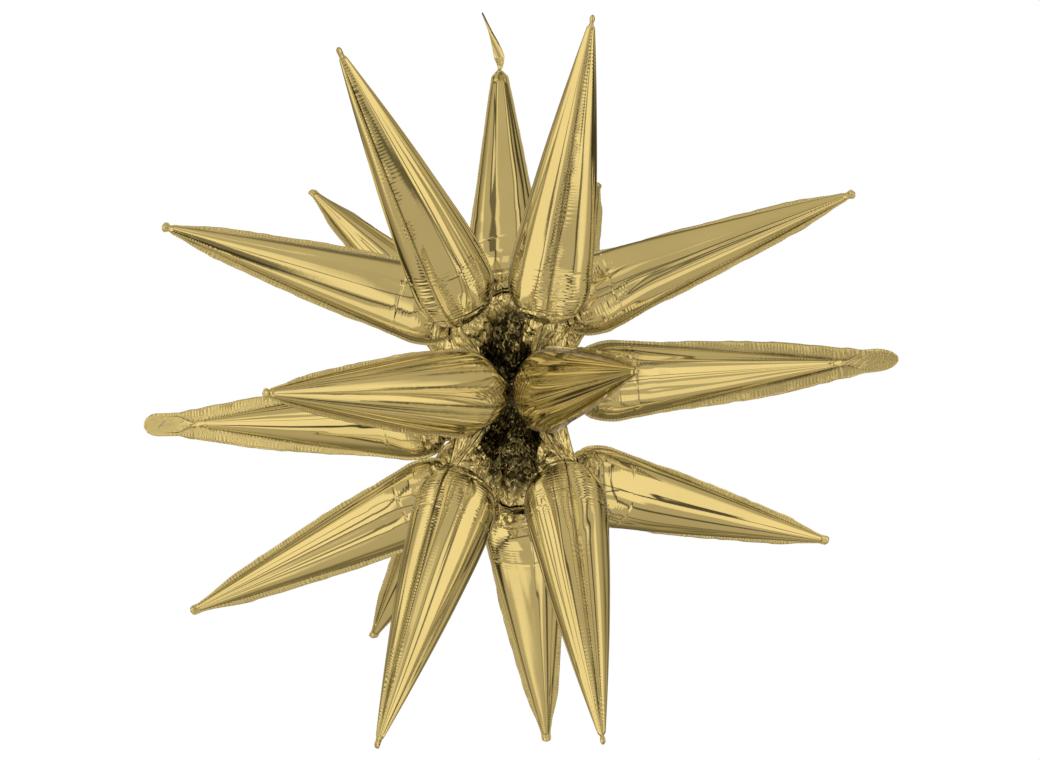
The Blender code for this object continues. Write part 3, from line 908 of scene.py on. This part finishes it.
def tail_grid(side):
    """Points of one ply of the filling tail: a pinched start, a full middle, a twisted thin end."""
    joint = next(j for j in frame["joints"] if j["child"] == "filling_tail")
    base = np.array(joint["pos_m"], float)
    ends = node_points("filling_tail_front_ply")
    reach = np.linalg.norm(ends - base, axis=1)
    tip = ends[reach > reach.max() - 1.0 * MM].mean(axis=0)
    along = unit(tip - base)
    across = unit(np.cross(along, (0.0, 1.0, 0.0)))
    face = np.cross(across, along)
    length = np.linalg.norm(tip - base)
    v, q = tail_shares()
    half = np.interp(v, *zip(*TAIL_WIDTHS)) * MM
    turn = TAIL_FIRST_TURN + TAIL_TWIST * smooth(v * 1.15)
    noise = Noise(SEED + 77)
    fold = noise.ridged(q * 1.1 + 3.0, v * 5.0, octaves=2) * smooth((0.30 - v) / 0.25)
    dome = TAIL_DOME * (1.0 - q**2) * smooth(v / 0.2)
    lift = half * (dome + TAIL_FOLD * fold * (1.0 - q**4))
    curl = TAIL_CURL * np.sin(math.pi * v**0.55)
    x = q * half * np.cos(turn) - lift * np.sin(turn) - curl
    z = q * half * np.sin(turn) + lift * np.cos(turn)
    thickness = side * (FILM_LIFT + TAIL_SWELL * half * (1.0 - q**2))
    x = x - thickness * np.sin(turn)
    z = z + thickness * np.cos(turn)
    y = TAIL_START + v * (length - TAIL_START)
    return base + x[..., None] * across + y[..., None] * along + z[..., None] * face


def build_tail(material):
    v, q = tail_shares()
    shade = TAIL_SHADE * smooth((v - 0.50 - 0.35 * q) / 0.28)
    for side_name, side in SIDES:
        node = f"filling_tail_{side_name}_ply"
        item = grid_object(f"{node}_film", tail_grid(side), side, material, 0.0, shade)
        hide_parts(node)
        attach(item, "filling_tail")


def plain_material(name, colour, roughness, scale, bump_height):
    """Plastic with faint mottling and a fine uneven surface."""
    material = bpy.data.materials.new(name)
    material.use_nodes = True
    nodes = Nodes(material.node_tree)
    shader = material.node_tree.nodes["Principled BSDF"]
    place = nodes.add("ShaderNodeTexCoord").outputs["Object"]
    grain = nodes.noise(place, scale, 4.0)
    dim = tuple(0.86 * c for c in colour)
    nodes.feed(shader.inputs["Base Color"], nodes.mix_colour(grain, (*dim, 1.0), (*colour, 1.0)))
    nodes.feed(shader.inputs["Roughness"], nodes.ramp(grain, 0.2, 0.8, roughness, roughness + 0.15))
    nodes.feed(shader.inputs["Normal"], nodes.bump(grain, 0.4, bump_height))
    return material


def dress_small_nodes():
    """Materials of the frame's own nodes that stay in view: bond rings and valve films."""
    film = plain_material("valve_film", (0.82, 0.84, 0.86), 0.20, 260.0, 0.2 * MM)
    glue = plain_material("bond_adhesive", (0.70, 0.66, 0.55), 0.45, 420.0, 0.3 * MM)
    for name, material in (("valve", film), ("bond", glue)):
        for node, item in frame["nodes"].items():
            if name in node:
                item.data.materials.clear()
                item.data.materials.append(material)


# Hub sheets


def hub_edge(star, side, spikes, centre):
    """Outer edge of a hub sheet: the starts of its six spikes, joined by sagging webs."""
    order = sorted((s for s in spikes.values() if s.star == star), key=lambda s: s.index)
    sections = [spike.first_row[side][::-1] for spike in order]
    low_sag, more_sag = WEB_SAG[star]
    points, angles = [], []
    for k, section in enumerate(sections):
        following = sections[(k + 1) % 6]
        middle = STAR_TURN[star] + k * math.pi / 3
        points.append(section)
        arm_start, arm_end = middle - HUB_ARM_SPREAD, middle + HUB_ARM_SPREAD
        next_start = middle + math.pi / 3 - HUB_ARM_SPREAD
        angles.append(np.linspace(arm_start, arm_end, len(section)))
        v = np.arange(1, WEB_COLUMNS) / WEB_COLUMNS
        chord = mix(section[-1], following[0], v[:, None])
        gap = np.linalg.norm(section[-1] - following[0])
        sag = low_sag + more_sag * min(gap / WEB_FULL_GAP, 1.0)
        if (star, k) in OPEN_WEBS:
            sag = OPEN_SAG
        pull = 1.0 - sag * np.sin(math.pi * v) ** 0.8
        points.append(centre + (chord - centre) * pull[:, None])
        angles.append(np.linspace(arm_end, next_start, WEB_COLUMNS + 1)[1:-1])
    return np.concatenate(points), np.concatenate(angles)


def radiating_creases(points, bond):
    """Crumple drawn out along lines from the bond, about -1 to 1."""
    offset = points - bond
    away = np.linalg.norm(offset, axis=-1)
    q = RAY_FINENESS * offset / away[..., None] + (away / RAY_LENGTH)[..., None] + 60.0
    return CRUMPLE.ridged(q[..., 0], q[..., 1], q[..., 2])


def hub_grid(star, side, spikes, bond):
    """(points, shade, facing) of one hub sheet: rows from the bond at the centre to the creases.

    Facing is the sign of the grid's normals along the sheet's outer face.
    """
    centre = bond + np.array([0.0, (STARS.index(star) - 1) * STAR_SPACING, 0.0])
    edge, angle = hub_edge(star, side, spikes, centre)
    outermost = (star, side) in (("front", 1.0), ("rear", -1.0))
    port = 0.15 * MM if outermost else GAS_PORT_RADIUS
    t = np.linspace(0.0, 1.0, HUB_ROWS + 1)
    ray = np.stack([np.cos(angle), np.zeros_like(angle), np.sin(angle)], axis=-1)
    reach = np.linalg.norm(edge - centre, axis=1)
    face = np.array([0.0, -side, 0.0])
    radius = port + (reach - port)[None, :] * t[:, None]
    flat = centre + ray[None] * radius[..., None] + face * FILM_LIFT
    straight = centre + (edge - centre)[None] * (radius / reach)[..., None]
    points = mix(flat, straight, smooth((t - 0.08) / 0.70)[:, None, None])
    normal = grid_normals(points)
    facing = np.sign((normal * face).sum(-1).mean())
    window = smooth((t - 0.14) / 0.15)[:, None] * smooth((1.02 - t) / 0.10)[:, None]
    spread = smooth((radius - 14 * MM) / (16 * MM)) * smooth((1.0 - t[:, None]) / 0.25)
    rays = radiating_creases(points, bond)
    blobs = 1.1 * crumple(points) + 0.45 * crumple(points, 0.45 * CRUMPLE_SIZE)
    height = CRUMPLE_HEIGHT * mix(blobs, 0.45 * blobs + 0.9 * rays, spread)
    points = points + normal * (facing * (height + 0.5 * CRUMPLE_HEIGHT) * window)[..., None]
    depth = np.linalg.norm((points - bond) / np.array(SHADE_HALF_SIZE), axis=-1)
    shade = 1.0 - smooth((depth - 0.80) / 0.30)
    return points, shade, facing


def build_hub(star, spikes, materials, bond):
    """Both hub sheets of a star; its spikes have to be built already."""
    for side_name, side in SIDES:
        node = f"{star}_hub_{side_name}_sheet"
        points, shade, facing = hub_grid(star, side, spikes, bond)
        name = f"{node}_film"
        item = grid_object(name, points, -facing, materials[star], 0.0, shade, closed=True)
        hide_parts(node)
        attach(item, "core")


# Materials


class Nodes:
    """Short names for the shader nodes of one tree."""

    def __init__(self, tree):
        self.tree = tree

    def add(self, kind, **settings):
        node = self.tree.nodes.new(kind)
        for name, value in settings.items():
            setattr(node, name, value)
        return node

    def feed(self, socket, value):
        if isinstance(value, bpy.types.NodeSocket):
            self.tree.links.new(value, socket)
        else:
            socket.default_value = value

    def math(self, operation, a, b=0.0, c=0.0):
        node = self.add("ShaderNodeMath", operation=operation)
        for socket, value in zip(node.inputs, (a, b, c)):
            self.feed(socket, value)
        return node.outputs["Value"]

    def mix_colour(self, factor, a, b):
        node = self.add("ShaderNodeMix", data_type="RGBA")
        self.feed(node.inputs["Factor"], factor)
        self.feed(node.inputs["A"], a)
        self.feed(node.inputs["B"], b)
        return node.outputs["Result"]

    def ramp(self, value, low, high, to_low=0.0, to_high=1.0):
        node = self.add("ShaderNodeMapRange", interpolation_type="SMOOTHSTEP")
        self.feed(node.inputs["Value"], value)
        self.feed(node.inputs["From Min"], low)
        self.feed(node.inputs["From Max"], high)
        self.feed(node.inputs["To Min"], to_low)
        self.feed(node.inputs["To Max"], to_high)
        return node.outputs["Result"]

    def noise(self, vector, scale, detail=2.0):
        node = self.add("ShaderNodeTexNoise")
        self.feed(node.inputs["Vector"], vector)
        self.feed(node.inputs["Scale"], scale)
        self.feed(node.inputs["Detail"], detail)
        return node.outputs["Fac"]

    def bump(self, height, strength, distance, normal=None):
        node = self.add("ShaderNodeBump")
        self.feed(node.inputs["Height"], height)
        self.feed(node.inputs["Strength"], strength)
        self.feed(node.inputs["Distance"], distance)
        if normal is not None:
            self.feed(node.inputs["Normal"], normal)
        return node.outputs["Normal"]


def deep_glints(nodes, place):
    """Painted shade deep between the stars: dark facets, with painted glints on thin fold lines."""
    bent = nodes.add("ShaderNodeVectorMath", operation="MULTIPLY_ADD")
    stir = nodes.add("ShaderNodeTexNoise")
    nodes.feed(stir.inputs["Vector"], place)
    nodes.feed(stir.inputs["Scale"], 90.0)
    nodes.feed(bent.inputs[0], stir.outputs["Color"])
    bent.inputs[1].default_value = (0.006, 0.006, 0.006)
    nodes.feed(bent.inputs[2], place)
    facets = nodes.add("ShaderNodeTexVoronoi")
    folds = nodes.add("ShaderNodeTexVoronoi", feature="DISTANCE_TO_EDGE")
    for texture in (facets, folds):
        nodes.feed(texture.inputs["Vector"], bent.outputs["Vector"])
        texture.inputs["Scale"].default_value = FACET_DENSITY
    pick = nodes.add("ShaderNodeSeparateXYZ")
    nodes.feed(pick.inputs[0], facets.outputs["Color"])
    facet = nodes.ramp(pick.outputs["X"], 0.45, 1.0, DEEP_SHADE, DEEP_FACET)
    line = nodes.ramp(folds.outputs["Distance"], 0.02, 0.10, DEEP_GLINT, 0.0)
    broken = nodes.ramp(nodes.noise(place, 120.0), 0.42, 0.60)
    return nodes.math("MAXIMUM", facet, nodes.math("MULTIPLY", line, broken))


def foil_material(name, edge_from=0.74, edge_shade=EDGE_SHADE, edge_tint=EDGE_TINT):
    """Gold metallised film: mirror-like, with painted shade at its outline, and a stippled heat
    seal.

    Film seen in other film is paler and has no dark outline, so that it does not redden there.
    """
    material = bpy.data.materials.new(name)
    material.use_nodes = True
    tree = material.node_tree
    nodes = Nodes(tree)
    shader = tree.nodes["Principled BSDF"]
    shader.inputs["Metallic"].default_value = 1.0
    shader.inputs["Specular Tint"].default_value = edge_tint
    place = nodes.add("ShaderNodeTexCoord").outputs["Object"]
    seam = nodes.add("ShaderNodeAttribute", attribute_name="seam").outputs["Fac"]
    shade = nodes.add("ShaderNodeAttribute", attribute_name="shade").outputs["Fac"]
    path = nodes.add("ShaderNodeLightPath")

    tone = nodes.ramp(nodes.noise(place, 11.0, 3.0), 0.3, 0.7, 0.93, 1.0)
    facing = nodes.add("ShaderNodeLayerWeight")
    facing.inputs["Blend"].default_value = 0.5
    mirrored = path.outputs["Is Glossy Ray"]
    # Painted shade: the film's colour is darkened where it is seen edge-on
    outline = nodes.ramp(facing.outputs["Facing"], edge_from, 0.97, 1.0, edge_shade)
    outline = nodes.math("MAXIMUM", outline, mirrored)
    light = nodes.math("MULTIPLY", tone, outline)
    # Painted shade where the mesh's shade attribute is set, down to painted facets and glints
    least = nodes.math("MULTIPLY", mirrored, DEEP_MIRRORED)
    glint = nodes.math("MAXIMUM", deep_glints(nodes, place), least)
    light = nodes.math("MULTIPLY", light, nodes.ramp(shade, 0.0, 1.0, 1.0, glint))
    colour = nodes.mix_colour(mirrored, (*GOLD, 1.0), (*MIRRORED, 1.0))
    scaled = nodes.add("ShaderNodeVectorMath", operation="SCALE")
    nodes.feed(scaled.inputs[0], colour)
    nodes.feed(scaled.inputs["Scale"], light)
    nodes.feed(shader.inputs["Base Color"], scaled.outputs["Vector"])
    roughness = nodes.math("MULTIPLY_ADD", seam, SEAM_ROUGHNESS, FILM_ROUGHNESS)
    nodes.feed(shader.inputs["Roughness"], roughness)

    crinkle = nodes.bump(nodes.noise(place, CRINKLE_DENSITY, 4.0), 0.05, 0.4 * MM)
    stipple = nodes.add("ShaderNodeTexVoronoi")
    nodes.feed(stipple.inputs["Vector"], place)
    nodes.feed(stipple.inputs["Scale"], STIPPLE_DENSITY)
    sealed = nodes.math("MULTIPLY", stipple.outputs["Distance"], seam)
    nodes.feed(shader.inputs["Normal"], nodes.bump(sealed, 0.35, 0.3 * MM, crinkle))
    return material


# Stage


def world_light():
    """Pale studio all round, seen only in reflections: white to the camera itself."""
    world = bpy.data.worlds.new("studio")
    bpy.context.scene.world = world
    world.use_nodes = True
    tree = world.node_tree
    nodes = Nodes(tree)
    direction = nodes.add("ShaderNodeTexCoord").outputs["Generated"]
    split = nodes.add("ShaderNodeSeparateXYZ")
    nodes.feed(split.inputs[0], direction)
    x, y, z = split.outputs
    toward = nodes.math("MULTIPLY", y, -1.0)
    azimuth = nodes.math("ARCTAN2", x, toward)
    light = nodes.ramp(toward, -0.75, -0.35, BEHIND_LIGHT, FRONT_LIGHT)
    light = nodes.math("MULTIPLY", light, nodes.ramp(z, 0.80, 0.92, 1.0, ABOVE_LIGHT))
    light = nodes.math("MULTIPLY", light, nodes.ramp(z, -0.80, -0.55, BELOW_LIGHT, 1.0))
    for turn, half_turn, low, high, strength, edge in BOXES:
        off = nodes.math("ABSOLUTE", nodes.math("SUBTRACT", azimuth, math.radians(turn)))
        inside = nodes.ramp(off, math.radians(half_turn - edge), math.radians(half_turn), 1.0, 0.0)
        middle = 0.5 * (math.sin(math.radians(low)) + math.sin(math.radians(high)))
        reach = 0.5 * (math.sin(math.radians(high)) - math.sin(math.radians(low)))
        tall = nodes.math("ABSOLUTE", nodes.math("SUBTRACT", z, middle))
        soft = 0.4 * math.radians(edge)
        level = nodes.ramp(tall, reach - soft, reach, 1.0, 0.0)
        lit = nodes.math("MULTIPLY", nodes.math("MULTIPLY", inside, level), strength)
        light = nodes.math("MAXIMUM", light, lit)
    for normal, offset, half_width, strength in GAPS:
        dot = nodes.add("ShaderNodeVectorMath", operation="DOT_PRODUCT")
        nodes.feed(dot.inputs[0], direction)
        dot.inputs[1].default_value = unit(np.array(normal, float))
        distance = nodes.math("ABSOLUTE", nodes.math("SUBTRACT", dot.outputs["Value"], offset))
        gap = nodes.ramp(distance, half_width, half_width + GAP_SOFTNESS, strength, 1.0)
        light = nodes.math("MULTIPLY", light, gap)
    camera = nodes.ramp(y, -0.999, -0.975, CAMERA_LIGHT, 1.0)
    light = nodes.math("MULTIPLY", light, camera)
    path = nodes.add("ShaderNodeLightPath")
    seen = nodes.add("ShaderNodeMix", data_type="FLOAT")
    nodes.feed(seen.inputs["Factor"], path.outputs["Is Camera Ray"])
    nodes.feed(seen.inputs["A"], light)
    nodes.feed(seen.inputs["B"], 1.0)
    background = tree.nodes["Background"]
    background.inputs["Color"].default_value = (1.0, 1.0, 1.0, 1.0)
    nodes.feed(background.inputs["Strength"], seen.outputs["Result"])


def make_camera(bond):
    """Camera at the photo's viewing angle, level with the balloon."""
    data = bpy.data.cameras.new("camera")
    camera = bpy.data.objects.new("camera", data)
    bpy.context.scene.collection.objects.link(camera)
    camera.location = bond + np.array(CAMERA_OFFSET)
    camera.rotation_euler = (math.radians(90), 0.0, 0.0)
    data.sensor_width = SENSOR_WIDTH
    data.lens = 0.5 * SENSOR_WIDTH / math.tan(0.5 * CAMERA_ANGLE)
    bpy.context.scene.camera = camera


def make_floor():
    """Pale floor below the balloon, white to the camera and left out of the film's reflections."""
    height = CAD_BOX[0][2] - FLOOR_DROP
    bpy.ops.mesh.primitive_plane_add(size=FLOOR_SIZE, location=(0.0, 0.0, height))
    floor = bpy.context.object
    floor.name = "floor"
    material = bpy.data.materials.new("floor")
    material.use_nodes = True
    nodes = Nodes(material.node_tree)
    shader = material.node_tree.nodes["Principled BSDF"]
    shader.inputs["Base Color"].default_value = (0.9, 0.9, 0.9, 1.0)
    shader.inputs["Roughness"].default_value = 0.9
    glow = nodes.add("ShaderNodeEmission")
    blend = nodes.add("ShaderNodeMixShader")
    nodes.feed(blend.inputs["Fac"], nodes.add("ShaderNodeLightPath").outputs["Is Camera Ray"])
    nodes.feed(blend.inputs[1], shader.outputs["BSDF"])
    nodes.feed(blend.inputs[2], glow.outputs["Emission"])
    output = material.node_tree.nodes["Material Output"]
    nodes.feed(output.inputs["Surface"], blend.outputs["Shader"])
    floor.data.materials.append(material)
    floor.visible_glossy = False


def main():
    spikes = read_spikes()
    bond = 0.5 * (box_middle("front_bond_ring") + box_middle("rear_bond_ring"))
    materials = {star: foil_material(f"{star}_foil") for star in STARS}
    # The pleated spikes get a copy of the foil with less painted shade at its outline and its own
    # edge tint
    materials["pleated"] = foil_material("front_pleated_foil", 0.90, 0.60, PLEATED_EDGE_TINT)
    for spike in spikes.values():
        build_spike(spike, materials)
    for star in STARS:
        build_hub(star, spikes, materials, bond)
    build_tail(foil_material("tail_foil"))
    dress_small_nodes()
    world_light()
    make_floor()
    make_camera(bond)
    bpy.context.scene.view_settings.view_transform = "Standard"


main()
